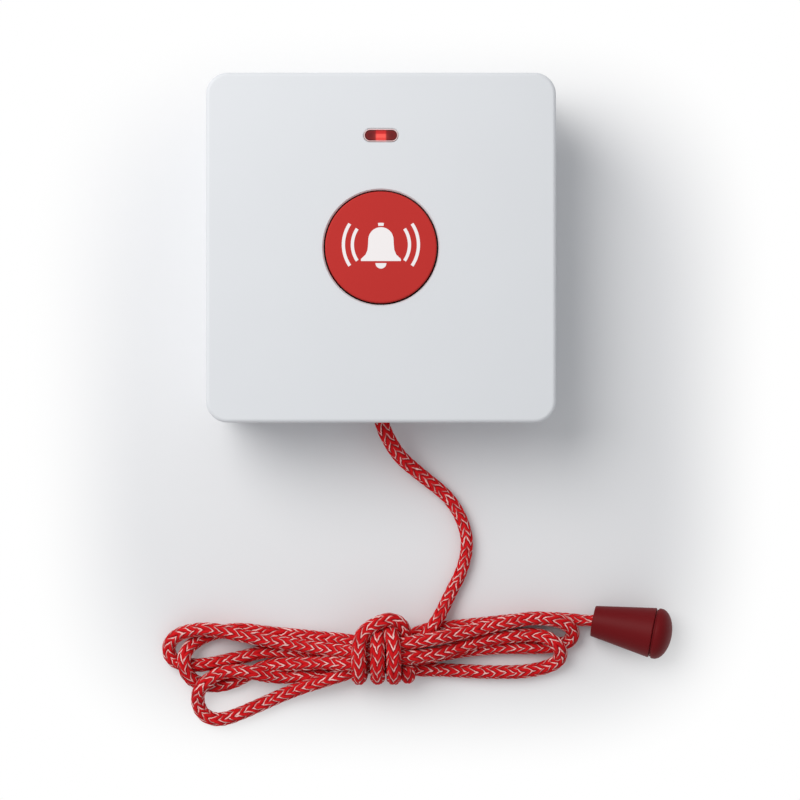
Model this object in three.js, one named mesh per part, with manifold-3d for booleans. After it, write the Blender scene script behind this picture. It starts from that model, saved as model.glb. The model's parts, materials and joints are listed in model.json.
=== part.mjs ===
// Emergency pull cord alarm: a battery powered wall unit with a red call button and a pull cord.
// Millimetres. The wall face lies on z = 0 with the origin at its centre, +Z is out of the front
// and +Y points to the lamp end. The cord leaves the lower side, along -Y.

import * as THREE from 'three';
import { mergeVertices } from 'three/addons/utils/BufferGeometryUtils.js';
import Module from 'manifold-3d';

// Clearance between neighbouring pieces, and the reach of a cutting body past the face that it opens
const fit = 0.3;
const over = 1;

// Housing outline and walls
const coverSide = 86;
const coverCorner = 5.3;
const coverEdge = 1;
const coverWall = 2;
const coverAir = 1;
const coverPostBore = 7.5;
const caseInset = 0.8;
const caseWall = 2;
const caseBackWall = 2.4;
const seamHeight = 14;
const seamGap = 0.6;
const spigotWall = 1.2;
const spigotHeight = 2.6;
const sealWidth = 0.9;
const sealHeight = 1.3;

// Wall plate with its hooks
const plateThickness = 2.6;
const plateGap = 0.8;
const skirtLift = 0.5;
const wallScrewSpacing = 60.3;
const wallSlotWidth = 5;
const wallSlotLength = 9;
const hookSpacing = 40;
const hookTopInset = 4.2;
const hookLowInset = 5.2;
const hookWidth = 8;
const hookStem = 1.6;
const hookBarb = 1.4;

// Battery bay, door and cells
const cellDiameter = 10.5;
const cellLength = 44.5;
const cellNubLength = 1;
const cellNubDiameter = 3.8;
const cellEdge = 0.6;
const cellSpacing = 11.1;
const bayInset = 9.1;
const bayWall = 1.2;
const contactThickness = 0.4;
const contactSpringLength = 4.2;
const contactSpringRadius = 3;
const contactSpringTip = 1.8;
const contactSpringTurns = 3;
const contactWire = 0.6;
const contactWidth = 8;
const contactTailWidth = 2;
const doorThickness = 1.2;
const doorLedge = 1.5;
const doorGrips = { count: 3, pitch: 3, width: 1, length: 4, depth: 0.4, inset: 3.7 };

// Circuit board and what it carries
const boardThickness = 1.6;
const boardCorner = 1.5;
const boardInset = 3.5;
const boardGap = 1;
const boardPostDiameter = 5;
const boardPostGap = 0.8;
const moduleSize = { x: 14, y: 22, z: 2.4 };
const moduleBoard = 0.8;
const moduleShield = { x: 12, y: 16, shift: -2 };
const modulePlace = { inset: 8.5, rise: 29 };
const antennaLength = 18;
const antennaWidth = 4;
const antennaSheet = 0.6;
const antennaHeight = 3;
const antennaFeed = { width: 2, shift: -4.5 };
const antennaPlace = { inset: 6.5, rise: 32 };
const buzzerDiameter = 14;
const buzzerHeight = 3.6;
const buzzerHole = 2.4;
const buzzerRoof = 2.6;
const buzzerPlace = { inset: 12.5, rise: 9 };
const lampSize = { x: 3.5, y: 2.8, z: 1.5, base: 1, dome: 2.2 };

// Call button, its switch and spring
const buttonDiameter = 27.4;
const buttonGap = 0.4;
const buttonHoleRim = 0.35;
const buttonProud = 0.6;
const buttonTravel = 0.6;
const buttonThickness = 2.2;
const buttonEdge = 0.4;
const buttonSkirtWall = 1.6;
const collarWall = 1.6;
const collarDepth = 2;
const hookReach = 0.9;
const buttonHookWidth = 5;
const buttonHookHeight = 1;
const buttonHooks = 3;
const tactSide = 12;
const tactCorner = 1;
const tactHeight = 3;
const tactPlungerDiameter = 6.8;
const tactPlungerDepth = 1.6;
const stemDiameter = 6;
const stemLength = 0.7;
const buttonSpringRadius = 10;
const buttonSpringWire = 0.8;
const buttonSpringTurns = 2.5;

// Lamp window above the button
const lensInset = 15.5;
const lensWidth = 7.9;
const lensHeight = 2.6;
const lensHoleRim = 0.25;
const lensProud = 0.1;
const lensFlange = 1.2;
const lensFlangeThickness = 0.8;

// Cord and the switch that it works
const cordDiameter = 3.4;
const cordExitZ = 9.2;
const pullTravel = 4;
const bushFlangeDiameter = 9.4;
const bushFlangeThickness = 1;
const bushBarrelDiameter = 6.4;
const bushBarrelLength = 2.9;
const sliderWidth = 14;
const sliderLength = 18;
const sliderHeight = 6.1;
const sliderEndWall = 6.7;
const sliderBackWall = 1.5;
const sliderRailHeight = 4.9;
const knotDiameter = 6;
const rampSlope = 0.2;
const rampStart = 9;
const rampLength = 5.5;
const rampRoot = 1;
const pullSpringWire = 0.6;
const pullSpringLength = 7;
const pullSpringTurns = 4;
const guideWidth = 5;
const retainerThickness = 1.6;
const retainerLength = 7;
const retainerLead = 3;
const limitSwitch = { x: 5.8, y: 10, roof: 0.8 };
const limitPlunger = { x: 1.6, y: 1.6, depth: 1.2 };

// Screws
const screwInset = 7.5;
const caseScrew = {
  shaft: 2.8, length: 15, tip: 2, tipLength: 1.7, head: 5, headHeight: 1.6, rimHeight: 1, crown: 3.6,
  crossWidth: 0.7, crossLength: 2.7, crossDepth: 0.9,
};
const smallScrew = {
  shaft: 2, length: 7, tip: 1.4, tipLength: 1.2, head: 4, headHeight: 1.2, rimHeight: 0.7, crown: 2.9,
  crossWidth: 0.6, crossLength: 2.2, crossDepth: 0.7,
};
const bossWall = 1.8;

// Sound slots in the lower side, below the buzzer
const soundSlots = 5;
const soundSlotWidth = 1.6;
const soundSlotHeight = 5;
const soundSlotPitch = 3.6;

// Pull at the end of the cord, lying on its side
const pullSmallDiameter = 7.9;
const pullLargeDiameter = 12.7;
const pullCapDiameter = 12.9;
const pullConeLength = 15.5;
const pullCapLength = 4;
const pullCapRim = 0.6;
const pullSpigotLength = 2;
const pullSeatDepth = 3;
const pullWall = 1.5;
const pullEdge = 0.35;
const pullGroove = 0.8;
const pullGrooveDepth = 0.8;
const pullRestGap = 0.05;
const pullPlace = { x: 54, y: -93.9 };
const pullTurn = -10.5;
const endKnotLength = 5;

// Free cord, as it lies on the surface under the wall face: its lead, its hank and its tail
const leadPoints = [
  [0, -43.2, 9.2], [0.1, -44.3, 9.2], [0.6, -45.8, 8.9], [1.5, -47.5, 8.3], [2.9, -49.8, 7.1],
  [5.3, -52.6, 5.3], [8.2, -55.1, 3.7], [11.5, -57.8, 2.5], [14.4, -60.1, 1.9], [16.8, -62.3, 1.8], [19.1, -65.4, 1.8],
  [20.7, -68.7, 1.8], [21.7, -72.3, 1.8], [21.8, -75.3, 1.8], [21.3, -78.5, 1.8], [20.1, -82.2, 1.8],
  [18.0, -86.3, 1.9], [16.9, -88.6, 2.2], [15.9, -90.9, 3.0], [15.1, -93.0, 4.0],
];
const tailPoints = [[51.5, -93.9, 2.9], [52.5, -93.9, 3.3], [53.6, -93.9, 3.7]];
const hankHeight = 6.9;
const hankSteps = 40;
const hankLeft = [
  [-3, -98], [-14, -96], [-28, -94.2], [-42, -93.2], [-51, -94.6], [-56, -99.5], [-55.6, -105],
  [-51.4, -109.5], [-49.4, -115], [-46, -120], [-40, -121], [-28, -116.4], [-14, -110.8], [-3, -108],
];
const hankRight = [
  [3, -97], [14, -94.2], [26, -92.9], [38, -91.4], [45, -91.6], [50, -94.8], [50.2, -99.4],
  [47.6, -104.4], [43, -107.6], [30, -109.2], [14, -108.8], [3, -108],
];
const knotBlock = { x: 0.5, y: -100.8, width: 16, length: 18, corner: 4, height: 13.4 };

// Levels and outlines that follow from the sizes above
const caseSide = coverSide - 2 * caseInset;
const caseCorner = coverCorner - caseInset;
const caseInnerSide = caseSide - 2 * caseWall;
const caseInnerCorner = caseCorner - caseWall;
const caseBack = plateThickness + plateGap;
const caseFloor = caseBack + caseBackWall;
const coverRim = seamHeight + seamGap;
const spigotSide = coverSide - 2 * coverWall - 2 * fit;
const spigotCorner = coverCorner - coverWall - fit;
const screwPlace = coverSide / 2 - screwInset;
const cellBottom = caseBack + doorThickness + 2 * fit;
const cellCentreZ = cellBottom + cellDiameter / 2 - fit;
const bayCeiling = cellCentreZ + cellDiameter / 2 + fit;
const bayWidth = cellSpacing + cellDiameter + 2 * fit;
const bayLength = cellLength + contactSpringLength + 2 * contactThickness + 5 * fit;
const boardBack = bayCeiling + bayWall + fit;
const boardFront = boardBack + boardThickness;
const onBoard = boardFront + fit;
const coverInner = onBoard + buzzerHeight + fit + coverAir;
const housingDepth = coverInner + coverWall;
const lensY = coverSide / 2 - lensInset;
const hookTopY = caseInnerSide / 2 - hookTopInset;
const hookLowY = hookLowInset - caseInnerSide / 2;
const bayCentreY = caseInnerSide / 2 - bayWidth / 2 - bayInset;
const lowerInnerY = -caseInnerSide / 2;
const sliderBottom = caseFloor + fit;
const springStartY = -caseSide / 2 - fit + bushFlangeThickness + bushBarrelLength + fit;
const sliderFrontY = springStartY + pullSpringLength + fit;
const rampFrontY = sliderFrontY + rampStart;
const plungerY = rampFrontY + limitPlunger.y / 2 - fit;
const plungerX = (sliderWidth + knotDiameter + 2 * fit) / 4;
const guideInnerX = sliderWidth / 2 + fit;
const guideCentreX = guideInnerX + guideWidth / 2;
const guideTop = sliderBottom + sliderHeight;
const retainerY = sliderFrontY - retainerLead;
const retainerCentreY = retainerY + retainerLength / 2;
const bossDiameter = caseScrew.shaft + 2 * fit + 2 * bossWall;
const boardPostX = bayLength / 2 + bayWall + boardPostGap + boardPostDiameter / 2;
const boardWidth = 2 * (boardPostX + boardInset);
const boardTopY = screwPlace - bossDiameter / 2 - boardGap;
const boardBottomY = retainerY + retainerLength + boardGap;
const boardPosts = [boardBottomY + boardInset, boardTopY - boardInset].flatMap((y) => [
  [-boardPostX, y], [boardPostX, y],
]);
const moduleCentre = { x: modulePlace.inset - boardWidth / 2, y: boardBottomY + modulePlace.rise };
const antennaCentre = { x: boardWidth / 2 - antennaPlace.inset, y: boardBottomY + antennaPlace.rise };
const buzzerCentre = { x: buzzerPlace.inset - boardWidth / 2, y: boardBottomY + buzzerPlace.rise };

// Materials
function finish(name, color, roughness, metalness = 0) {
  return new THREE.MeshStandardMaterial({ name, color, roughness, metalness });
}
const whiteShell = finish('white_shell', 0xe4e6e8, 0.45);
const redPlastic = finish('red_button', 0xc53a39, 0.5);
const redLens = finish('red_lens', 0x8c1a1a, 0.15);
const maroonPlastic = finish('maroon_pull', 0x5e1a1d, 0.5);
const redCord = finish('red_cord', 0xc4262b, 0.85);
const greenBoard = finish('green_board', 0x1d6b3c, 0.5);
const blackPlastic = finish('black_plastic', 0x1c1c1e, 0.5);
const steel = finish('steel', 0xb6b8ba, 0.35, 1);
const nickel = finish('contact_metal', 0xd0cdc4, 0.3, 1);
const cellSleeve = finish('cell_sleeve', 0x2f3a44, 0.35);
const sealRubber = finish('seal_rubber', 0x2a2b2d, 0.8);
const milkyLamp = finish('lamp_resin', 0xf2e6d8, 0.4);

// Closed solids for cutting and joining
const wasm = await Module();
wasm.setup();

function solid(geometry) {
  const bare = geometry.clone();
  bare.deleteAttribute('uv');
  bare.deleteAttribute('normal');
  const merged = mergeVertices(bare, 1e-4);
  const corners = [];
  for (let i = 0; i < merged.index.count; i += 3) {
    const [a, b, c] = [merged.index.getX(i), merged.index.getX(i + 1), merged.index.getX(i + 2)];
    if (a !== b && b !== c && c !== a) corners.push(a, b, c);
  }
  return new wasm.Manifold(new wasm.Mesh({
    numProp: 3,
    vertProperties: new Float32Array(merged.attributes.position.array),
    triVerts: new Uint32Array(corners),
  }));
}

function piece(name, body, material) {
  const shape = body.getMesh();
  const geometry = new THREE.BufferGeometry();
  geometry.setAttribute('position', new THREE.BufferAttribute(new Float32Array(shape.vertProperties), 3));
  geometry.setIndex(new THREE.BufferAttribute(new Uint32Array(shape.triVerts), 1));
  geometry.computeVertexNormals();
  const mesh = new THREE.Mesh(geometry, material);
  mesh.name = name;
  return mesh;
}

function join(first, ...others) {
  return others.reduce((sum, other) => sum.add(other), first);
}

function cut(first, ...others) {
  return others.reduce((rest, other) => rest.subtract(other), first);
}

// A block between two corners
function block(x0, x1, y0, y1, z0, z1) {
  const geometry = new THREE.BoxGeometry(x1 - x0, y1 - y0, z1 - z0);
  return solid(geometry.translate((x0 + x1) / 2, (y0 + y1) / 2, (z0 + z1) / 2));
}

// A block standing on a level, centred on x and y
function blockOn(x, y, width, length, z0, z1) {
  return block(x - width / 2, x + width / 2, y - length / 2, y + length / 2, z0, z1);
}

function prism(outline, z0, z1, curveSegments = 3) {
  const geometry = new THREE.ExtrudeGeometry(outline, { depth: z1 - z0, bevelEnabled: false, curveSegments });
  return solid(geometry.translate(0, 0, z0));
}

// A rounded rectangle about a centre
function rounded(width, length, corner, x = 0, y = 0) {
  const [w, h, r] = [width / 2, length / 2, Math.min(corner, width / 2 - 0.01, length / 2 - 0.01)];
  const shape = new THREE.Shape();
  shape.absarc(x + w - r, y + h - r, r, 0, Math.PI / 2);
  shape.absarc(x - w + r, y + h - r, r, Math.PI / 2, Math.PI);
  shape.absarc(x - w + r, y - h + r, r, Math.PI, 1.5 * Math.PI);
  shape.absarc(x + w - r, y - h + r, r, 1.5 * Math.PI, 2 * Math.PI);
  shape.closePath();
  return shape;
}

function rod(diameter, z0, z1, x = 0, y = 0, sides = 16) {
  const geometry = new THREE.CylinderGeometry(diameter / 2, diameter / 2, z1 - z0, sides);
  return solid(geometry.rotateX(Math.PI / 2).translate(x, y, (z0 + z1) / 2));
}

// A rod along Y at the height of the cord
function rodAlongY(diameter, y0, y1, sides = 16) {
  const geometry = new THREE.CylinderGeometry(diameter / 2, diameter / 2, y1 - y0, sides);
  return solid(geometry.translate(0, (y0 + y1) / 2, cordExitZ));
}

// A solid turned about its own axis, from radius and height pairs
function turned(profile, sides = 32) {
  const geometry = new THREE.LatheGeometry(profile.map(([r, h]) => new THREE.Vector2(r, h)), sides);
  return geometry.rotateX(Math.PI / 2);
}

class Helix extends THREE.Curve {
  constructor(radius, endRadius, length, turns) {
    super();
    Object.assign(this, { radius, endRadius, length, turns });
  }
  getPoint(t, target = new THREE.Vector3()) {
    const angle = 2 * Math.PI * this.turns * t;
    const reach = THREE.MathUtils.lerp(this.radius, this.endRadius, t);
    return target.set(reach * Math.cos(angle), reach * Math.sin(angle), this.length * t);
  }
}

// A coil of round wire that stands on z = 0 and is as high as given over its wire
function coil(radius, endRadius, height, turns, wire, stepsPerTurn = 14) {
  const section = new THREE.Shape().absarc(0, 0, wire / 2, 0, 2 * Math.PI);
  const path = new Helix(radius, endRadius, height - wire, turns);
  const steps = Math.round(stepsPerTurn * turns);
  const geometry = new THREE.ExtrudeGeometry(section, {
    steps, extrudePath: path, curveSegments: 3, bevelEnabled: false,
  });
  return geometry.translate(0, 0, wire / 2);
}

// A screw with its head above z = 0
function screw(size) {
  const { shaft, length, tip, tipLength, head, headHeight, rimHeight, crown } = size;
  return turned([
    [0, -length], [tip / 2, -length], [shaft / 2, tipLength - length], [shaft / 2, 0], [head / 2, 0],
    [head / 2, rimHeight], [crown / 2, headHeight], [0, headHeight],
  ], 10);
}

function crossRecess({ headHeight, crossWidth, crossLength, crossDepth }) {
  const [floor, top] = [headHeight - crossDepth, headHeight + over];
  return join(
    blockOn(0, 0, crossLength, crossWidth, floor, top),
    blockOn(0, 0, crossWidth, crossLength, floor, top),
  );
}

// Wall plate: screwed to a wall box, it carries the unit on four upturned hooks
function wallPlate() {
  const side = caseInnerSide - 2 * fit;
  const hooks = [hookTopY, hookLowY].flatMap((y) => [-1, 1].map((s) => {
    const x = s * hookSpacing / 2;
    const barbBottom = caseFloor + fit;
    const barbTop = barbBottom + bayWall;
    return join(
      blockOn(x, y, hookWidth, hookStem, plateThickness / 2, barbTop),
      block(x - hookWidth / 2, x + hookWidth / 2, y, y + hookStem / 2 + hookBarb, barbBottom, barbTop),
    );
  }));
  const slots = [-1, 1].map((s) => prism(
    rounded(wallSlotWidth, wallSlotLength, wallSlotWidth / 2, s * wallScrewSpacing / 2),
    -over, plateThickness + over,
  ));
  const sheet = prism(rounded(side, side, caseInnerCorner - fit), 0, plateThickness);
  return piece('wall_plate', cut(join(sheet, ...hooks), ...slots), whiteShell);
}

// Battery bay, open to the back and closed by the door
function bayBox(grow, z0, z1) {
  return blockOn(0, bayCentreY, bayLength + 2 * grow, bayWidth + 2 * grow, z0, z1);
}

function contactTailSlots(z0, z1, grow) {
  const x = bayLength / 2 - fit - contactThickness / 2;
  return [-1, 1].map((s) => blockOn(
    x, bayCentreY + s * cellSpacing / 2, contactThickness + 2 * grow, contactTailWidth + 2 * grow, z0, z1,
  ));
}

// Rear case: a moulded tray with the battery bay, screw bosses, board posts and cord guides
function rearCase() {
  const bossTop = seamHeight - fit;
  const corners = [[-1, -1], [1, -1], [-1, 1], [1, 1]].map(([i, j]) => [i * screwPlace, j * screwPlace]);
  const shell = cut(
    prism(rounded(caseSide, caseSide, caseCorner), skirtLift, seamHeight),
    prism(rounded(caseInnerSide, caseInnerSide, caseInnerCorner), 0, caseBack),
    prism(rounded(caseInnerSide, caseInnerSide, caseInnerCorner), caseFloor, housingDepth),
  );
  const spigotInner = spigotSide - 2 * spigotWall;
  const [spigotBottom, spigotTop] = [seamHeight - spigotHeight, seamHeight + spigotHeight];
  const spigot = cut(
    prism(rounded(spigotSide, spigotSide, spigotCorner), spigotBottom, spigotTop),
    prism(rounded(spigotInner, spigotInner, spigotCorner - spigotWall), 0, housingDepth),
  );
  const guides = [-1, 1].map((s) => block(
    s * guideCentreX - guideWidth / 2, s * guideCentreX + guideWidth / 2,
    retainerY, sliderFrontY + sliderLength, caseFloor - fit, guideTop,
  ));
  const body = join(
    shell, spigot, ...guides,
    bayBox(bayWall, caseBack, bayCeiling + bayWall),
    ...corners.map(([x, y]) => rod(bossDiameter, caseFloor - fit, bossTop, x, y)),
    ...boardPosts.map(([x, y]) => rod(boardPostDiameter, caseFloor - fit, boardBack - fit, x, y)),
  );
  const headRoom = caseBack + caseScrew.headHeight + 2 * fit;
  const slotRun = hookStem + hookBarb + 2 * fit;
  const slotShift = hookStem / 2 + fit - slotRun / 2;
  const hookSlots = [hookTopY, hookLowY].flatMap((y) => [-1, 1].map((s) => blockOn(
    s * hookSpacing / 2, y + slotShift, hookWidth + 2 * fit, slotRun, 0, caseFloor + fit,
  )));
  const sounds = Array.from({ length: soundSlots }, (_, i) => {
    const x = buzzerCentre.x + (i - (soundSlots - 1) / 2) * soundSlotPitch;
    const z = (caseFloor + seamHeight) / 2;
    return block(
      x - soundSlotWidth / 2, x + soundSlotWidth / 2, -caseSide, lowerInnerY + over,
      z - soundSlotHeight / 2, z + soundSlotHeight / 2,
    );
  });
  const retainerScrewEnd = guideTop + retainerThickness + fit - smallScrew.length;
  const holes = [
    bayBox(0, caseBack + doorThickness, bayCeiling),
    bayBox(doorLedge, 0, caseBack + doorThickness + fit),
    ...contactTailSlots(bayCeiling - over, boardBack, fit),
    ...corners.map(([x, y]) => rod(caseScrew.head + 2 * fit, 0, headRoom, x, y)),
    ...corners.map(([x, y]) => rod(caseScrew.shaft + 2 * fit, 0, housingDepth, x, y)),
    ...boardPosts.map(([x, y]) => rod(
      smallScrew.shaft + 2 * fit, onBoard - smallScrew.length - fit, housingDepth, x, y, 12,
    )),
    ...[-1, 1].map((s) => rod(
      smallScrew.shaft + 2 * fit, retainerScrewEnd, housingDepth, s * guideCentreX, retainerCentreY, 12,
    )),
    rodAlongY(bushBarrelDiameter + 2 * fit, -caseSide, lowerInnerY + over),
    rodAlongY(bushFlangeDiameter + 2 * fit, -caseSide, -caseSide / 2 + bushFlangeThickness),
  ];
  return piece('rear_case', cut(body, ...hookSlots, ...sounds, ...holes), whiteShell);
}

// Cuts the chamfer round an opening in the front
function openedRim(outline, rim, curveSegments) {
  const flare = new THREE.ExtrudeGeometry(outline, {
    depth: over, bevelThickness: rim, bevelSize: rim, bevelSegments: 1, curveSegments,
  });
  return solid(flare.translate(0, 0, housingDepth));
}

// Front cover: a square moulding with a small edge radius, the button hole and the lamp window
function frontCover() {
  const outline = rounded(coverSide - 2 * coverEdge, coverSide - 2 * coverEdge, coverCorner - coverEdge);
  const pillow = new THREE.ExtrudeGeometry(outline, {
    depth: housingDepth - 2 * coverEdge, bevelThickness: coverEdge, bevelSize: coverEdge,
    bevelSegments: 5, curveSegments: 5,
  }).translate(0, 0, coverEdge);
  const innerSide = coverSide - 2 * coverWall;
  const rebateSide = spigotSide + 2 * (fit + sealWidth + fit);
  const holeDiameter = buttonDiameter + 2 * buttonGap;
  const posts = [[-1, -1], [1, -1], [-1, 1], [1, 1]].map(([i, j]) => cut(
    rod(bossDiameter, seamHeight, coverInner + over, i * screwPlace, j * screwPlace),
    rod(caseScrew.shaft + 2 * fit, 0, seamHeight + coverPostBore, i * screwPlace, j * screwPlace),
  ));
  const shell = cut(
    solid(pillow),
    block(-coverSide, coverSide, -coverSide, coverSide, -over, coverRim),
    prism(rounded(innerSide, innerSide, coverCorner - coverWall), 0, coverInner),
    prism(rounded(rebateSide, rebateSide, spigotCorner + sealWidth + 2 * fit), 0, coverRim + sealHeight),
  );
  const collar = rod(holeDiameter + 2 * collarWall, coverInner - collarDepth, coverInner + over, 0, 0, 64);
  const window = rounded(lensWidth + 2 * fit, lensHeight + 2 * fit, lensHeight / 2 + fit, 0, lensY);
  const body = cut(
    join(shell, collar, ...posts),
    rod(holeDiameter, 0, 2 * housingDepth, 0, 0, 80),
    openedRim(new THREE.Shape().absarc(0, 0, holeDiameter / 2, 0, 2 * Math.PI), buttonHoleRim, 40),
    prism(window, coverInner - over, 2 * housingDepth, 5),
    openedRim(window, lensHoleRim, 5),
  );
  return piece('front_cover', body, whiteShell);
}

// Seal: a rubber ring round the spigot of the rear case
function caseSeal() {
  const [side, corner] = [spigotSide + 2 * fit, spigotCorner + fit];
  const outerSide = side + 2 * sealWidth;
  const bottom = seamHeight + fit;
  const ring = cut(
    prism(rounded(outerSide, outerSide, corner + sealWidth), bottom, bottom + sealHeight),
    prism(rounded(side, side, corner), 0, housingDepth),
  );
  return piece('case_seal', ring, sealRubber);
}

// Battery door: a flat lid in the back of the case, covered by the wall plate
function batteryDoor() {
  const lid = bayBox(doorLedge - fit, caseBack, caseBack + doorThickness);
  const { count, pitch, width, length, depth, inset } = doorGrips;
  const gripY = bayCentreY - bayWidth / 2 + inset;
  const grips = Array.from({ length: count }, (_, i) => blockOn(
    (i - (count - 1) / 2) * pitch, gripY, width, length, 0, caseBack + depth,
  ));
  return piece('battery_door', cut(lid, ...grips), whiteShell);
}

// Cells lie side by side, the first with its nub to the right and the second to the left
function cell(name, side) {
  const [r, nub] = [cellDiameter / 2, cellNubDiameter / 2];
  const bodyLength = cellLength - cellNubLength;
  const can = turned([
    [0, 0], [r - cellEdge, 0], [r, cellEdge], [r, bodyLength - cellEdge], [r - cellEdge, bodyLength],
    [nub, bodyLength], [nub, cellLength], [0, cellLength],
  ], 20);
  const nubEnd = bayLength / 2 - contactThickness - 2 * fit;
  const mesh = piece(name, solid(can), cellSleeve);
  mesh.rotation.y = side * Math.PI / 2;
  mesh.position.set(side * (nubEnd - cellLength), bayCentreY + side * cellSpacing / 2, cellCentreZ);
  return mesh;
}

// Battery contacts: pressed plates with a conical spring for each flat cell end
function contactPlate(side, y, width) {
  const x = side * (bayLength / 2 - fit - contactThickness / 2);
  return blockOn(x, y, contactThickness, width, cellBottom + fit, bayCeiling - fit);
}

function contactSpring(side, y) {
  const wound = coil(
    contactSpringRadius, contactSpringTip, contactSpringLength, contactSpringTurns, contactWire, 12,
  );
  wound.rotateY(-side * Math.PI / 2);
  const weldX = bayLength / 2 - fit - contactThickness / 2;
  return solid(wound.translate(side * weldX, y, cellCentreZ));
}

function contacts() {
  const [upper, lower] = [bayCentreY + cellSpacing / 2, bayCentreY - cellSpacing / 2];
  const tailTop = boardFront + fit;
  const [lowerTail, upperTail] = contactTailSlots(bayCeiling - over, tailTop, 0);
  return [
    piece('contact_link', join(
      contactPlate(-1, bayCentreY, cellSpacing + contactWidth), contactSpring(-1, upper),
    ), nickel),
    piece('contact_plus', join(contactPlate(1, upper, contactWidth), upperTail), nickel),
    piece('contact_minus', join(
      contactPlate(1, lower, contactWidth), contactSpring(1, lower), lowerTail,
    ), nickel),
  ];
}

// Circuit board on four posts, over the battery bay
function mainBoard() {
  const centreY = (boardTopY + boardBottomY) / 2;
  const board = cut(
    prism(rounded(boardWidth, boardTopY - boardBottomY, boardCorner, 0, centreY), boardBack, boardFront, 2),
    ...boardPosts.map(([x, y]) => rod(smallScrew.shaft + 2 * fit, 0, housingDepth, x, y, 12)),
    ...contactTailSlots(0, housingDepth, fit),
  );
  return piece('main_board', board, greenBoard);
}

function radioModule() {
  const { x, y } = moduleCentre;
  const can = join(
    blockOn(x, y, moduleSize.x, moduleSize.y, onBoard, onBoard + moduleBoard),
    blockOn(x, y + moduleShield.shift, moduleShield.x, moduleShield.y, onBoard, onBoard + moduleSize.z),
  );
  return piece('radio_module', can, steel);
}

// Antenna: a folded strip on two legs
function antenna() {
  const { x, y } = antennaCentre;
  const top = onBoard + antennaHeight;
  const strip = join(
    blockOn(x, y, antennaWidth, antennaLength, top - antennaSheet, top),
    blockOn(x, y - antennaLength / 2 + antennaSheet / 2, antennaWidth, antennaSheet, onBoard, top),
    blockOn(x, y + antennaFeed.shift, antennaFeed.width, antennaSheet, onBoard, top),
  );
  return piece('antenna', strip, nickel);
}

function buzzer() {
  const { x, y } = buzzerCentre;
  const can = cut(
    rod(buzzerDiameter, onBoard, onBoard + buzzerHeight, x, y, 24),
    rod(buzzerHole, onBoard + buzzerHeight - buzzerRoof, housingDepth, x, y, 12),
  );
  return piece('buzzer', can, blackPlastic);
}

function statusLamp() {
  const body = join(
    blockOn(0, lensY, lampSize.x, lampSize.y, onBoard, onBoard + lampSize.base),
    rod(lampSize.dome, onBoard, onBoard + lampSize.z, 0, lensY, 16),
  );
  return piece('status_led', body, milkyLamp);
}

// Lamp window: a red light guide with a flange behind the cover
function lampLens() {
  const grown = (reach) => rounded(
    lensWidth + 2 * reach, lensHeight + 2 * reach, lensHeight / 2 + reach, 0, lensY,
  );
  const flangeTop = coverInner - fit;
  const guide = join(
    prism(grown(0), onBoard + lampSize.z + fit, housingDepth + lensProud, 5),
    prism(grown(lensFlange), flangeTop - lensFlangeThickness, flangeTop, 4),
  );
  return piece('led_lens', guide, redLens);
}

// Tactile switch: a square body with a round plunger under the button's stem
function tactSwitch() {
  const top = onBoard + tactHeight;
  const body = cut(
    prism(rounded(tactSide, tactSide, tactCorner), onBoard, top, 1),
    rod(tactPlungerDiameter + 2 * fit, top - tactPlungerDepth, housingDepth),
  );
  return piece('tact_switch', body, blackPlastic);
}

function tactPlunger() {
  const stemEnd = housingDepth + buttonProud - buttonThickness - stemLength;
  const bottom = onBoard + tactHeight - tactPlungerDepth + buttonTravel;
  return piece('tact_plunger', rod(tactPlungerDiameter, bottom, stemEnd - fit), blackPlastic);
}

// Call button: a round cap whose hooked skirt is held behind the collar of the cover
function callButton() {
  const r = buttonDiameter / 2;
  const top = housingDepth + buttonProud;
  const under = top - buttonThickness;
  const hookTop = coverInner - collarDepth - fit;
  const skirtEnd = hookTop - buttonHookHeight;
  const inner = r - buttonSkirtWall;
  const cap = solid(turned([
    [0, under], [inner, under], [inner, skirtEnd], [r, skirtEnd], [r, top - buttonEdge],
    [r - buttonEdge * 0.3, top - buttonEdge * 0.3], [r - buttonEdge, top], [0, top],
  ], 72));
  const reach = 2 * (r + buttonGap + hookReach);
  const ring = cut(
    rod(reach, skirtEnd, hookTop, 0, 0, 48),
    rod(buttonDiameter - buttonSkirtWall, 0, housingDepth, 0, 0, 48),
  );
  const hooks = Array.from({ length: buttonHooks }, (_, i) => {
    const arm = new THREE.BoxGeometry(reach, buttonHookWidth, housingDepth);
    arm.translate(reach / 2, 0, housingDepth / 2).rotateZ(2 * Math.PI * i / buttonHooks + Math.PI / 2);
    return ring.intersect(solid(arm));
  });
  const stem = rod(stemDiameter, under - stemLength, under + buttonThickness / 2);
  return piece('call_button', join(cap, stem, ...hooks), redPlastic);
}

function buttonSpring() {
  const under = housingDepth + buttonProud - buttonThickness;
  const wound = coil(
    buttonSpringRadius, buttonSpringRadius, under - onBoard - fit, buttonSpringTurns, buttonSpringWire, 20,
  );
  return piece('button_spring', solid(wound.translate(0, 0, onBoard)), steel);
}

// Cord bush: a flanged sleeve in the lower side
function cordBush() {
  const flangeY = -caseSide / 2 - fit;
  const bore = cordDiameter + 2 * fit;
  const sleeve = cut(
    join(
      rodAlongY(bushFlangeDiameter, flangeY, flangeY + bushFlangeThickness),
      rodAlongY(bushBarrelDiameter, flangeY, flangeY + bushFlangeThickness + bushBarrelLength),
    ),
    rodAlongY(bore, -coverSide, 0),
  );
  return piece('cord_bush', sleeve, whiteShell);
}

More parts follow.
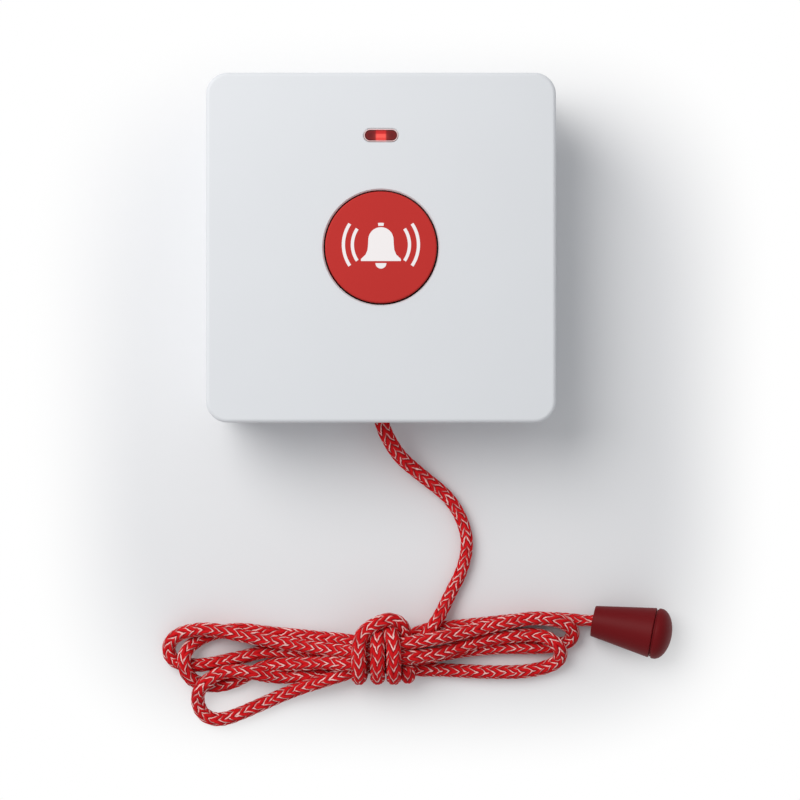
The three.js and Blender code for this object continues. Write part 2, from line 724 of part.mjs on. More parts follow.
// Slider: it holds the cord's knot, and its ramp lifts the plunger of the limit switch
function pullSlider() {
  const [x, y0] = [sliderWidth / 2, sliderFrontY];
  const railTop = sliderBottom + sliderRailHeight;
  const rampEnd = rampFrontY + rampLength;
  const ramp = new THREE.Shape();
  ramp.moveTo(rampFrontY, railTop - rampRoot);
  ramp.lineTo(y0 + sliderLength, railTop - rampRoot);
  ramp.lineTo(y0 + sliderLength, railTop + rampSlope * rampLength);
  ramp.lineTo(rampEnd, railTop + rampSlope * rampLength);
  ramp.lineTo(rampFrontY, railTop);
  const pocket = knotDiameter / 2 + fit;
  const railWidth = x - pocket;
  const rampBody = new THREE.ExtrudeGeometry(ramp, { depth: railWidth, bevelEnabled: false });
  rampBody.rotateX(Math.PI / 2).rotateZ(Math.PI / 2).translate(pocket, 0, 0);
  const body = cut(
    join(
      block(-x, x, y0, y0 + sliderEndWall, sliderBottom, sliderBottom + sliderHeight),
      block(-x, x, y0, y0 + sliderLength, sliderBottom, railTop),
      solid(rampBody),
    ),
    block(-pocket, pocket, y0 + sliderEndWall, y0 + sliderLength - sliderBackWall, 0, housingDepth),
    rodAlongY(cordDiameter + 2 * fit, y0 - over, y0 + sliderEndWall + over),
  );
  return piece('pull_slider', body, blackPlastic);
}

// Retainer: a strap over the slider, screwed to its two guides
function sliderRetainer() {
  const bottom = guideTop + fit;
  const half = guideInnerX + guideWidth;
  const strap = cut(
    block(-half, half, retainerY, retainerY + retainerLength, bottom, bottom + retainerThickness),
    ...[-1, 1].map((s) => rod(
      smallScrew.shaft + 2 * fit, 0, housingDepth, s * guideCentreX, retainerCentreY, 12,
    )),
  );
  return piece('slider_retainer', strap, whiteShell);
}

function pullSpring() {
  const radius = cordDiameter / 2 + fit + pullSpringWire;
  const wound = coil(radius, radius, pullSpringLength, pullSpringTurns, pullSpringWire);
  wound.rotateX(-Math.PI / 2).translate(0, springStartY, cordExitZ);
  return piece('pull_spring', solid(wound), steel);
}

// Limit switch under the board, its plunger just above the slider's ramp
function limitSwitchBody() {
  const bottom = sliderBottom + sliderRailHeight + rampSlope * rampLength + 2 * fit;
  const top = boardBack - fit;
  const bore = blockOn(
    plungerX, plungerY, limitPlunger.x + 2 * fit, limitPlunger.y + 2 * fit, 0, top - limitSwitch.roof,
  );
  return piece('limit_switch', cut(
    blockOn(plungerX, plungerY, limitSwitch.x, limitSwitch.y, bottom, top), bore,
  ), blackPlastic);
}

function limitSwitchPlunger() {
  const rampUnder = rampSlope * (plungerY + limitPlunger.y / 2 - rampFrontY);
  const tip = sliderBottom + sliderRailHeight + rampUnder + fit;
  const top = sliderBottom + sliderRailHeight + rampSlope * rampLength + 2 * fit + limitPlunger.depth;
  const pin = blockOn(plungerX, plungerY, limitPlunger.x, limitPlunger.y, tip, top);
  return piece('limit_plunger', pin, redPlastic);
}

// Cord inside the unit, with the knot that holds it in the slider
function innerCord() {
  const knotY = sliderFrontY + sliderEndWall + fit + knotDiameter / 2;
  const knot = new THREE.SphereGeometry(knotDiameter / 2, 12, 8).translate(0, knotY, cordExitZ);
  const straight = rodAlongY(cordDiameter, -coverSide / 2 + fit, knotY, 12);
  return piece('inner_cord', join(straight, solid(knot)), redCord);
}

function crossScrew(name, size, x, y, z, turn) {
  const mesh = piece(name, cut(solid(screw(size)), crossRecess(size)), steel);
  mesh.rotation.x = turn;
  mesh.position.set(x, y, z);
  return mesh;
}

function screws() {
  const corners = [[-1, -1], [1, -1], [-1, 1], [1, 1]];
  const headSeat = caseBack + caseScrew.headHeight + fit;
  const caseScrews = corners.map(([i, j], n) => crossScrew(
    `case_screw_${n + 1}`, caseScrew, i * screwPlace, j * screwPlace, headSeat, Math.PI,
  ));
  const boardScrews = boardPosts.map(([x, y], n) => crossScrew(
    `board_screw_${n + 1}`, smallScrew, x, y, onBoard, 0,
  ));
  const retainerTop = guideTop + fit + retainerThickness + fit;
  const retainerScrews = [-1, 1].map((s, n) => crossScrew(
    `retainer_screw_${n + 1}`, smallScrew, s * guideCentreX, retainerCentreY, retainerTop, 0,
  ));
  return [...caseScrews, ...boardScrews, ...retainerScrews];
}

// Free cord: plain tubes along its lead and tail, and one solid for the hank with its knot
function cordTube(name, points, steps) {
  const section = new THREE.Shape().absarc(0, 0, cordDiameter / 2, 0, 2 * Math.PI);
  const path = new THREE.CatmullRomCurve3(points.map(([x, y, z]) => new THREE.Vector3(x, y, z)));
  const tube = new THREE.ExtrudeGeometry(section, {
    steps, extrudePath: path, curveSegments: 4, bevelEnabled: false,
  });
  return piece(name, solid(tube), redCord);
}

function cordHank() {
  const lobes = [hankLeft, hankRight].map((points) => {
    const edge = new THREE.SplineCurve(points.map(([x, y]) => new THREE.Vector2(x, y)));
    return prism(new THREE.Shape(edge.getPoints(hankSteps)), 0, hankHeight);
  });
  const { x, y, width, length, corner, height } = knotBlock;
  const knot = prism(rounded(width, length, corner, x, y), 0, height, 4);
  return piece('cord_hank', join(knot, ...lobes), redCord);
}

// Pull: a hollow cone with the cord's end knot inside, closed by a domed cap. It lies on its side, so its
// axis rises towards the wide end.
function pull() {
  const [small, large, rim] = [pullSmallDiameter / 2, pullLargeDiameter / 2, pullCapDiameter / 2];
  const bore = cordDiameter / 2 + fit;
  const cavity = knotDiameter / 2 + 2 * fit;
  const mouth = large - pullWall;
  const taper = (mouth - cavity) / (pullConeLength - pullSeatDepth);
  const shell = solid(turned([
    [bore, 0], [small - pullEdge, 0], [small, pullEdge], [large, pullConeLength - pullEdge],
    [large - pullEdge, pullConeLength], [mouth, pullConeLength], [cavity, pullSeatDepth],
    [bore, pullSeatDepth], [bore, 0],
  ], 32));

  const spigot = mouth - fit - taper * pullSpigotLength;
  const shoulder = rim - pullGrooveDepth;
  const start = pullConeLength + pullGroove;
  const domeHeight = pullCapLength - pullCapRim;
  const dome = [0, 15, 30, 45, 60, 75].map((degrees) => {
    const angle = THREE.MathUtils.degToRad(degrees);
    return [rim * Math.cos(angle), start + pullCapRim + domeHeight * Math.sin(angle)];
  });
  const cap = solid(turned([
    [0, pullConeLength - pullSpigotLength], [spigot, pullConeLength - pullSpigotLength],
    [spigot, pullConeLength + fit], [shoulder, pullConeLength + fit], [shoulder, start],
    [rim - pullEdge, start], [rim, start + pullEdge], ...dome, [0, start + pullCapLength],
  ], 32));

  const shank = cordDiameter / 2;
  const knotStart = pullSeatDepth + fit;
  const ball = [50, 90, 130].map((degrees) => {
    const angle = THREE.MathUtils.degToRad(degrees);
    return [knotDiameter / 2 * Math.sin(angle), knotStart + endKnotLength / 2 * (1 - Math.cos(angle))];
  });
  const endKnot = solid(turned([
    [0, fit], [shank, fit], [shank, knotStart], ...ball, [0, knotStart + endKnotLength],
  ], 12));

  const rise = (radius, height) => Math.atan((radius - small) / (height - pullEdge));
  const pitch = Math.max(rise(large, pullConeLength - pullEdge), rise(rim, start + pullEdge));
  const lying = new THREE.Group();
  lying.rotation.y = Math.PI / 2 - pitch;
  lying.add(
    piece('pull_body', shell, maroonPlastic),
    piece('pull_cap', cap, maroonPlastic),
    piece('end_knot', endKnot, redCord),
  );
  const placed = new THREE.Group();
  const axisHeight = small * Math.cos(pitch) - pullEdge * Math.sin(pitch) + pullRestGap;
  placed.rotation.z = THREE.MathUtils.degToRad(pullTurn);
  placed.position.set(pullPlace.x, pullPlace.y, axisHeight);
  placed.add(lying);
  return placed;
}

const alarm = new THREE.Group();
alarm.add(
  wallPlate(), rearCase(), frontCover(), caseSeal(), batteryDoor(),
  cell('battery_1', 1), cell('battery_2', -1), ...contacts(),
  mainBoard(), radioModule(), antenna(), buzzer(), statusLamp(), lampLens(),
  tactSwitch(), tactPlunger(), callButton(), buttonSpring(),
  cordBush(), pullSlider(), sliderRetainer(), pullSpring(), innerCord(),
  limitSwitchBody(), limitSwitchPlunger(),
  ...screws(),
  cordTube('cord_lead', leadPoints, 14), cordHank(), cordTube('cord_tail', tailPoints, 2), pull(),
);

export default alarm;
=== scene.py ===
import json
import math

import bpy
import numpy as np
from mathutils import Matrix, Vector

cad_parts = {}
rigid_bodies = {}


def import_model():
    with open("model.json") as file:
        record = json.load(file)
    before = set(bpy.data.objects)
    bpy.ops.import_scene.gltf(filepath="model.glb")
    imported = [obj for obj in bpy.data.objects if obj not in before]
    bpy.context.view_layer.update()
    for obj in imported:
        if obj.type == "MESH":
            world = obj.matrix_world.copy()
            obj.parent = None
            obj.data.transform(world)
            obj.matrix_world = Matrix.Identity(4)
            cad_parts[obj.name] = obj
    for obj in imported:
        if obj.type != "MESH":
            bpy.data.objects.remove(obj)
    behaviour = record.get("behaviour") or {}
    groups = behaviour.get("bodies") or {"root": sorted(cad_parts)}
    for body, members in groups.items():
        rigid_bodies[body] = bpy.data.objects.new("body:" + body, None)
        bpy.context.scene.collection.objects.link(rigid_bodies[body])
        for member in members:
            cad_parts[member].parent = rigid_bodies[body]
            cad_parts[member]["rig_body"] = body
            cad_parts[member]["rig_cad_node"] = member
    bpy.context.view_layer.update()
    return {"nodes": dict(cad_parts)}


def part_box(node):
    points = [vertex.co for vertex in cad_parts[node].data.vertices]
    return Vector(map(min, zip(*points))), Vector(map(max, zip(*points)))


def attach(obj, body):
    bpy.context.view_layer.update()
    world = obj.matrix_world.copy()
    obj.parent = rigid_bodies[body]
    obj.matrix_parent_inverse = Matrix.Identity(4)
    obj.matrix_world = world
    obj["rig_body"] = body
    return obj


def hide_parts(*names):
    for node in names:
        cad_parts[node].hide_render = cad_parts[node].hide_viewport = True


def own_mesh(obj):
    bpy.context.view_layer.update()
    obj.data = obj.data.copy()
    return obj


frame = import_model()

# View
# The unit lies face up on a table and the camera looks straight down on it. The view is 800 pixels
# wide, and the 86 mm front fills 348 of them.
mm = 0.001
camera_place = (4.675 * mm, -37.45 * mm, 551 * mm)
lens_length = 96.3
bpy.ops.object.select_all(action="DESELECT")
bpy.ops.object.camera_add(location=camera_place, rotation=(0, 0, 0))
camera = bpy.context.object
camera.data.sensor_width = 36
camera.data.lens = lens_length
camera.data.clip_end = 20
bpy.context.scene.camera = camera
bpy.context.scene.view_settings.view_transform = "Standard"


# Cord
# One length of braided polyester cord runs from the housing through a loose lead into a hank of five
# flat loops, is wound three and a half times round their middle, and ends in the pull. Its points lie
# on its centreline, in millimetres.
cord_diameter = 3.4
lead = [
    (0, -42.8, 9.2), (0.4, -44.2, 9.2), (1.0, -45.8, 8.9), (1.9, -47.5, 8.3), (3.2, -49.8, 7.1),
    (5.4, -52.6, 5.3), (8.2, -55.1, 3.7), (11.5, -57.8, 2.5), (14.4, -60.1, 1.9), (16.8, -62.3, 1.8),
    (19.1, -65.4, 1.8), (20.7, -68.7, 1.8), (21.7, -72.3, 1.8), (21.8, -75.3, 1.8), (21.3, -78.5, 1.8),
    (20.1, -82.2, 1.8), (18.0, -86.3, 1.9), (16.9, -88.6, 2.2), (15.7, -90.9, 3.0), (14.6, -93.0, 4.0),
    (12.7, -95.8, 4.9), (10.4, -98.4, 4.5),
]
lowest_loop = [
    (4, -101.2, 4.8), (-4, -105.0, 4.9), (-9.1, -107.2, 5.3), (-12.2, -108.2, 5.0), (-16.3, -109.6, 4.4),
    (-20.9, -111.2, 3.2), (-25.6, -113.2, 1.9), (-29.7, -115.0, 1.8), (-33.8, -116.8, 1.8),
    (-37.4, -118.3, 1.8), (-41.0, -119.4, 1.8), (-44.1, -119.1, 1.8), (-46.2, -117.5, 1.9),
    (-47.1, -115.1, 2.5), (-46.9, -112.5, 4.0), (-45.8, -110.2, 5.3), (-43.8, -108.5, 5.4),
    (-41.3, -107.2, 4.9), (-38.3, -106.6, 5.0), (-35.2, -106.7, 5.3), (-32.1, -107.2, 5.2),
    (-29.1, -108.0, 3.7), (-25.6, -108.5, 1.9), (-21.5, -108.3, 1.8), (-17.4, -107.9, 1.8),
    (-13.3, -107.2, 1.9), (-9.7, -106.3, 2.8),
]
lower_right_loop = [
    (-4, -105.6, 4.4), (3, -105.6, 4.6), (9.3, -106.4, 3.4), (13.7, -106.6, 2.4), (18.8, -106.9, 1.8),
    (25.5, -107.2, 1.8), (31.1, -107.3, 1.8), (36.5, -107.1, 1.8), (41.4, -106.2, 1.8), (44.2, -105.1, 2.0),
    (45.6, -103.6, 3.0), (45.7, -101.7, 4.4), (44.9, -100.0, 5.2), (43.1, -98.5, 5.1), (40.7, -97.6, 4.4),
    (37.2, -97.5, 3.8), (31.8, -98.0, 3.7), (25.4, -99.0, 3.8), (18.7, -100.8, 5.2), (12.8, -102.1, 7.2),
    (8.5, -102.5, 8.3),
]
outer_left_loop = [
    (2, -102.6, 8.2), (-5, -102.8, 5.6), (-10.7, -103.0, 3.2), (-15.9, -102.6, 2.0), (-21.0, -102.3, 1.8),
    (-26.1, -102.0, 1.8), (-30.8, -102.1, 1.8), (-35.6, -103.4, 1.8), (-39.5, -104.2, 1.8),
    (-43.6, -105.1, 1.8), (-47.5, -105.5, 1.8), (-51.3, -105.2, 1.8), (-53.6, -104.1, 1.8),
    (-54.7, -101.9, 1.9), (-54.1, -99.3, 2.4), (-51.7, -97.3, 3.4), (-48.5, -96.3, 4.7), (-45.4, -95.9, 5.3),
    (-41.3, -96.3, 5.4), (-36.2, -97.4, 5.1), (-29.9, -98.7, 4.6), (-20.9, -100.2, 4.3), (-13.7, -101.0, 5.4),
    (-9.1, -101.3, 7.2),
]
upper_right_loop = [
    (-3, -101.6, 8.2), (3, -102.8, 6.2), (8.8, -103.6, 4.2), (12.4, -103.1, 3.2), (17.0, -102.4, 2.2),
    (22.1, -101.6, 1.8), (27.8, -101.1, 1.8), (32.9, -100.9, 1.8), (37.8, -100.9, 1.8), (41.9, -100.8, 1.8),
    (45.0, -100.4, 1.8), (47.4, -99.7, 1.9), (48.8, -98.3, 2.6), (48.9, -96.6, 3.7), (47.4, -94.8, 4.8),
    (44.9, -93.7, 5.3), (41.7, -93.2, 5.3), (37.6, -93.2, 5.3), (31.7, -94.2, 5.3), (25.4, -95.6, 5.4),
    (18.7, -97.0, 6.8), (13.8, -97.9, 8.4), (9.0, -98.7, 8.8),
]
inner_left_loop = [
    (3, -99.4, 8.2), (-4, -99.5, 6.4), (-9.1, -98.9, 4.2), (-13.8, -98.6, 2.6), (-21.0, -98.0, 1.8),
    (-30.0, -97.1, 1.8), (-36.4, -96.4, 1.8), (-42.3, -97.1, 1.8), (-46.2, -98.5, 1.9), (-48.3, -99.9, 2.5),
    (-49.8, -101.4, 3.8), (-50.5, -103.3, 4.9), (-50.4, -105.2, 5.1), (-49.6, -107.7, 3.9),
    (-47.7, -109.7, 2.3), (-45.1, -110.6, 1.8), (-41.8, -110.7, 1.8), (-38.2, -109.8, 1.8),
    (-35.1, -108.3, 1.8), (-32.3, -106.8, 1.8), (-29.2, -105.7, 1.8), (-25.6, -105.2, 2.6),
    (-19.4, -104.8, 3.9), (-13.7, -104.4, 5.6), (-9.6, -104.6, 7.3),
]
arch_over_knot = [
    (-3, -103.6, 7.6), (1.6, -101.8, 6.4), (4.6, -99.8, 5.8), (5.9, -97.8, 6.4), (5.8, -95.8, 7.8),
    (4.8, -94.1, 9.0), (3.0, -93.0, 9.9), (0.9, -93.0, 10.4), (-1.1, -93.9, 10.5), (-3.0, -94.9, 10.5),
    (-4.5, -96.1, 10.8), (-5.4, -97.8, 11.2),
]
wrap_start = [(-5.7, -99.5, 11.1), (-5.7, -102.4, 11.75)]
second_to_third_wrap = [
    (-1.0, -99.5, 2.4), (-0.7, -97.2, 3.0), (0.2, -95.5, 4.6), (1.0, -94.9, 6.4), (1.8, -95.4, 8.3),
    (2.5, -97.0, 10.1), (3.0, -99.5, 11.3), (3.1, -102.4, 11.75),
]
last_wrap_points = [
    (3.3, -102.4, 1.8), (4.4, -100.6, 2.1), (5.6, -100.4, 4.0), (6.2, -101.6, 5.8), (6.5, -103.6, 7.2),
    (6.6, -105.8, 7.6), (6.6, -107.5, 6.5), (6.7, -108.1, 4.5), (6.8, -107.5, 2.6), (7.0, -105.6, 1.8),
    (7.3, -102.2, 1.8),
]
tail = [
    (7.6, -98.6, 2.0), (9.8, -96.9, 1.8), (12.6, -96.2, 1.8), (16.2, -95.8, 1.8), (21.4, -95.3, 1.8),
    (27.8, -94.6, 1.8), (34.2, -93.9, 1.8), (40.6, -93.5, 1.8), (46.3, -93.5, 1.9), (49.8, -93.8, 2.4),
    (52.2, -93.9, 3.2), (54.4, -93.9, 3.8),
]
wrap_middle = (-102.2, 6.75)
wrap_half_length = 5.9
wrap_half_height = 5.0
wrap_step = 30


# A wrap comes down the front of the knot and goes up behind it, and shifts sideways behind it.
def wrap(first, last, place, following):
    points = []
    for angle in range(first, last + 1, wrap_step):
        behind = max(0, (angle - 180) / 180)
        shift = behind * behind * (3 - 2 * behind)
        turn = math.radians(angle)
        points.append((
            place + (following - place) * shift,
            wrap_middle[0] + wrap_half_length * math.cos(turn),
            wrap_middle[1] + wrap_half_height * math.sin(turn),
        ))
    return points


wraps = (
    wrap_start + wrap(120, 330, -5.7, -1.0) + wrap(0, 270, -1.0, -1.0)
    + second_to_third_wrap + wrap(120, 240, 3.1, 3.1) + last_wrap_points
)


# A smooth curve through the points, with rings an equal step apart.
steps_per_span = 12
smoothing_rounds = 16


def smooth_route(points, step):
    points = np.array(points, float)
    before = np.vstack([points[0], points[:-2]])
    start, end = points[:-1], points[1:]
    after = np.vstack([points[2:], points[-1]])
    pieces = []
    for t in np.linspace(0, 1, steps_per_span, endpoint=False):
        pieces.append(0.5 * (
            2 * start + (end - before) * t
            + (2 * before - 5 * start + 4 * end - after) * t ** 2
            + (3 * start - before - 3 * end + after) * t ** 3
        ))
    fine = np.vstack([np.stack(pieces, axis=1).reshape(-1, 3), points[-1]])
    run = np.concatenate([[0], np.cumsum(np.linalg.norm(np.diff(fine, axis=0), axis=1))])
    count = round(run[-1] / step)
    wanted = np.linspace(0, run[-1], count + 1)
    rings = np.stack([np.interp(wanted, run, fine[:, axis]) for axis in range(3)], axis=1)
    for _ in range(smoothing_rounds):
        rings[1:-1] = 0.5 * rings[1:-1] + 0.25 * (rings[:-2] + rings[2:])
    return rings


# The braid has eight columns of slanted strands, and each column leans the other way from the next.
braid_pitch = 2.4
braid_columns = 8
braid_lean = 0.9
strand_crown = 0.3
crown_outside = 0.4
rings_per_pitch = 7
sides_per_column = 5
column_lead = 0.13
slow_drift, quick_drift = 0.12, 0.08


# The yarns are laid a little unevenly, so each column runs ahead of and behind the pitch.
def uneven_lay(along, column):
    return (
        along + column_lead * (column % 2) + slow_drift * np.sin(2.3 * along + 2.1 * column)
        + quick_drift * np.sin(5.1 * along + 4.3 * column)
    )


def strand_height(along, around):
    column = np.floor(around)
    across = around - column
    side = np.where(column % 2 == 0, 1.0, -1.0)
    place = uneven_lay(along, column) + side * (across - 0.5) * braid_lean
    place = place - np.floor(place)
    return np.sin(np.pi * np.clip(place, 0, 1)) ** 0.6 * np.sin(np.pi * (0.05 + 0.9 * across)) ** 0.5


def braided_tube(name, rings, outward, twist, radii):
    run = np.concatenate([[0], np.cumsum(np.linalg.norm(np.diff(rings, axis=0), axis=1))])
    tangent = np.gradient(rings, axis=0)
    tangent /= np.linalg.norm(tangent, axis=1)[:, None]
    normal = outward - (outward * tangent).sum(1)[:, None] * tangent
    normal /= np.linalg.norm(normal, axis=1)[:, None]
    side = np.cross(tangent, normal)
    cosine, sine = np.cos(twist)[:, None], np.sin(twist)[:, None]
    normal, side = cosine * normal + sine * side, cosine * side - sine * normal
    sides = braid_columns * sides_per_column
    around = np.arange(sides) / sides_per_column
    angle = 2 * np.pi * np.arange(sides) / sides
    along = run / braid_pitch
    laid = uneven_lay(along[:, None], np.arange(braid_columns)[None, :]).tolist()
    crown = strand_height(along[:, None], around[None, :])
    radius = radii[:, None] + strand_crown * (crown + crown_outside - 1)
    vertices = rings[:, None, :] + radius[:, :, None] * (
        np.cos(angle)[None, :, None] * normal[:, None, :] + np.sin(angle)[None, :, None] * side[:, None, :]
    )
    count = len(rings)
    faces = []
    corners = []
    for i in range(count - 1):
        for j in range(sides):
            k = (j + 1) % sides
            faces.append((i * sides + j, i * sides + k, (i + 1) * sides + k, (i + 1) * sides + j))
            low, high = j / sides_per_column, (j + 1) / sides_per_column
            near, far = laid[i][j // sides_per_column], laid[i + 1][j // sides_per_column]
            corners += [near, low, near, high, far, high, far, low]
    faces.append(tuple(range(sides - 1, -1, -1)))
    faces.append(tuple((count - 1) * sides + j for j in range(sides)))
    corners += [along[0], 0.5] * sides + [along[-1], 0.5] * sides
    mesh = bpy.data.meshes.new(name)
    mesh.from_pydata((vertices.reshape(-1, 3) * mm).tolist(), [], faces)
    layer = mesh.uv_layers.new(name="braid")
    layer.data.foreach_set("uv", np.array(corners, np.float32))
    mesh.update()
    piece = bpy.data.objects.new(name, mesh)
    bpy.context.scene.collection.objects.link(piece)
    bpy.ops.object.select_all(action="DESELECT")
    piece.select_set(True)
    bpy.context.view_layer.objects.active = piece
    bpy.ops.object.shade_smooth()
    return piece


def new_material(name):
    material = bpy.data.materials.new(name)
    material.use_nodes = True
    nodes = material.node_tree.nodes
    return material, nodes, material.node_tree.links, nodes["Principled BSDF"]


def math_node(nodes, links, operation, *values):
    node = nodes.new("ShaderNodeMath")
    node.operation = operation
    for socket, value in zip(node.inputs, values):
        if isinstance(value, (int, float)):
            socket.default_value = value
        else:
            links.new(value, socket)
    return node.outputs[0]


def colour_ramp(nodes, links, factor, stops):
    ramp = nodes.new("ShaderNodeValToRGB")
    elements = ramp.color_ramp.elements
    while len(elements) < len(stops):
        elements.new(0.5)
    for element, (position, colour) in zip(elements, stops):
        element.position = position
        element.color = (*colour, 1)
    links.new(factor, ramp.inputs["Fac"])
    return ramp.outputs["Color"]


def noise_node(nodes, links, scale, detail):
    coordinates = nodes.new("ShaderNodeTexCoord")
    noise = nodes.new("ShaderNodeTexNoise")
    noise.inputs["Scale"].default_value = scale
    noise.inputs["Detail"].default_value = detail
    links.new(coordinates.outputs["Object"], noise.inputs["Vector"])
    return noise.outputs["Fac"]


def add_bump(nodes, links, shader, height, strength, distance):
    bump = nodes.new("ShaderNodeBump")
    bump.inputs["Strength"].default_value = strength
    bump.inputs["Distance"].default_value = distance
    links.new(height, bump.inputs["Height"])
    links.new(bump.outputs["Normal"], shader.inputs["Normal"])


def two_colours(nodes, links, amount, under, over):
    mix = nodes.new("ShaderNodeMix")
    mix.data_type = "RGBA"
    links.new(amount, mix.inputs["Factor"])
    lower, upper = [socket for socket in mix.inputs if socket.type == "RGBA"]
    links.new(under, lower)
    upper.default_value = (*over, 1)
    return next(socket for socket in mix.outputs if socket.type == "RGBA")


# Red yarn with one pale tracer yarn along the edge of each strand.
# The red is painted darker in the grooves between strands as painted shade, and lighter on each strand's
# crown as a painted highlight.
groove_painted_shade, crown_painted_highlight = (0.20, 0.002, 0.004), (0.66, 0.010, 0.013)
yarn_edge, yarn_far_edge = (0.52, 0.006, 0.010), (0.52, 0.007, 0.010)
tracer_yarn = (0.92, 0.55, 0.52)
filaments_per_strand = 6


def braid_finish():
    material, nodes, links, shader = new_material("braided_polyester")
    place = nodes.new("ShaderNodeUVMap")
    place.uv_map = "braid"
    split = nodes.new("ShaderNodeSeparateXYZ")
    links.new(place.outputs["UV"], split.inputs["Vector"])
    along, around = split.outputs["X"], split.outputs["Y"]
    column = math_node(nodes, links, "FLOOR", around)
    across = math_node(nodes, links, "SUBTRACT", around, column)
    parity = math_node(nodes, links, "MODULO", column, 2)
    lean = math_node(nodes, links, "MULTIPLY_ADD", parity, -2 * braid_lean, braid_lean)
    offset = math_node(nodes, links, "SUBTRACT", across, 0.5)
    shifted = math_node(nodes, links, "MULTIPLY_ADD", offset, lean, along)
    phase = math_node(nodes, links, "FRACT", shifted)
    wander = math_node(nodes, links, "MULTIPLY_ADD", noise_node(nodes, links, 900, 2), 0.5, -0.25)
    uneven = math_node(nodes, links, "ADD", phase, wander)
    # Across each strand the colour runs from painted shade in the groove to a painted highlight on the crown.
    yarn = colour_ramp(nodes, links, phase, [
        (0.0, groove_painted_shade), (0.12, yarn_edge), (0.40, crown_painted_highlight), (0.66, yarn_far_edge), (1.0, groove_painted_shade),
    ])
    tracer = colour_ramp(nodes, links, uneven, [
        (0.0, (0, 0, 0)), (0.66, (0, 0, 0)), (0.72, (1, 1, 1)), (0.88, (1, 1, 1)), (0.94, (0, 0, 0)),
    ])
    strand = nodes.new("ShaderNodeCombineXYZ")
    links.new(column, strand.inputs["X"])
    links.new(math_node(nodes, links, "FLOOR", shifted), strand.inputs["Y"])
    chance = nodes.new("ShaderNodeTexWhiteNoise")
    chance.noise_dimensions = "3D"
    links.new(strand.outputs["Vector"], chance.inputs["Vector"])
    flip = math_node(nodes, links, "MULTIPLY_ADD", parity, -2, 1)
    from_tip = math_node(nodes, links, "MULTIPLY_ADD", across, flip, parity)
    shown = math_node(nodes, links, "MULTIPLY_ADD", chance.outputs["Value"], 0.9, 0.75)
    fade = math_node(nodes, links, "SUBTRACT", shown, math_node(nodes, links, "MULTIPLY", from_tip, 0.9))
    patchy = math_node(nodes, links, "MULTIPLY_ADD", noise_node(nodes, links, 1100, 1), 2.4, -0.2)
    amount = math_node(nodes, links, "MULTIPLY", math_node(nodes, links, "MULTIPLY", tracer, fade), patchy)
    amount.node.use_clamp = True
    links.new(two_colours(nodes, links, amount, yarn, tracer_yarn), shader.inputs["Base Color"])
    edge = math_node(nodes, links, "SINE", math_node(nodes, links, "MULTIPLY", phase, math.pi))
    flank = math_node(nodes, links, "SINE", math_node(nodes, links, "MULTIPLY", across, math.pi))
    pillow = math_node(nodes, links, "MULTIPLY", edge, flank)
    round_strand = math_node(nodes, links, "MULTIPLY", shifted, 2 * math.pi * filaments_per_strand)
    filament = math_node(nodes, links, "SINE", round_strand)
    height = math_node(nodes, links, "MULTIPLY_ADD", filament, 0.14, pillow)
    add_bump(nodes, links, shader, height, 0.6, 0.12 * mm)
    shader.inputs["Roughness"].default_value = 0.7
    shader.inputs["Specular IOR Level"].default_value = 0.06
    return material


# Outside the knot the braid faces up, and on the wraps it faces away from the knot's middle.
facing_rounds = 60


def facing_of(rings, first_wrap, last_wrap):
    facing = np.tile([0.0, 0.0, 1.0], (len(rings), 1))
    round_knot = np.stack([
        np.zeros(len(rings)), rings[:, 1] - wrap_middle[0], rings[:, 2] - wrap_middle[1],
    ], axis=1)
    facing[first_wrap:last_wrap] = round_knot[first_wrap:last_wrap]
    facing /= np.linalg.norm(facing, axis=1)[:, None]
    for _ in range(facing_rounds):
        facing[1:-1] = 0.5 * facing[1:-1] + 0.25 * (facing[:-2] + facing[2:])
    return facing / np.linalg.norm(facing, axis=1)[:, None]


hank = lowest_loop + lower_right_loop + outer_left_loop + upper_right_loop + inner_left_loop
route = lead + hank + arch_over_knot + wraps + tail
rings = smooth_route(route, braid_pitch / rings_per_pitch)
run = np.concatenate([[0], np.cumsum(np.linalg.norm(np.diff(rings, axis=0), axis=1))])
cord_length = float(run[-1])
first_wrap = int(np.linalg.norm(rings - np.array(wraps[0]), axis=1).argmin())
last_wrap = int(np.linalg.norm(rings - np.array(wraps[-1]), axis=1).argmin())

# The braid is thinner where it is pulled straight and fuller where it is bent and wound.
fullness = [
    (0, 1.06), (12, 1.05), (32, 0.90), (52, 0.90), (70, 1.0), (run[first_wrap] - 12, 1.0),
    (run[first_wrap] + 4, 1.09), (run[last_wrap] - 4, 1.09), (run[last_wrap] + 8, 0.98),
    (cord_length - 12, 0.9), (cord_length, 0.82),
]
radii = cord_diameter / 2 * np.interp(run, *zip(*fullness))
rings[:, 2] = np.maximum(rings[:, 2], radii + crown_outside * strand_crown)

# The lead is turned by one column of the braid, and the turn runs out where it enters the knot.
lead_twist = 2 * math.pi / braid_columns
twist_start, twist_end = 58, 80
twist = np.interp(run, (twist_start, twist_end), (lead_twist, 0))
cord = braided_tube("cord", rings, facing_of(rings, first_wrap, last_wrap), twist, radii)
cord.data.materials.append(braid_finish())
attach(cord, "pull")
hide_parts("cord_lead", "cord_hank", "cord_tail")


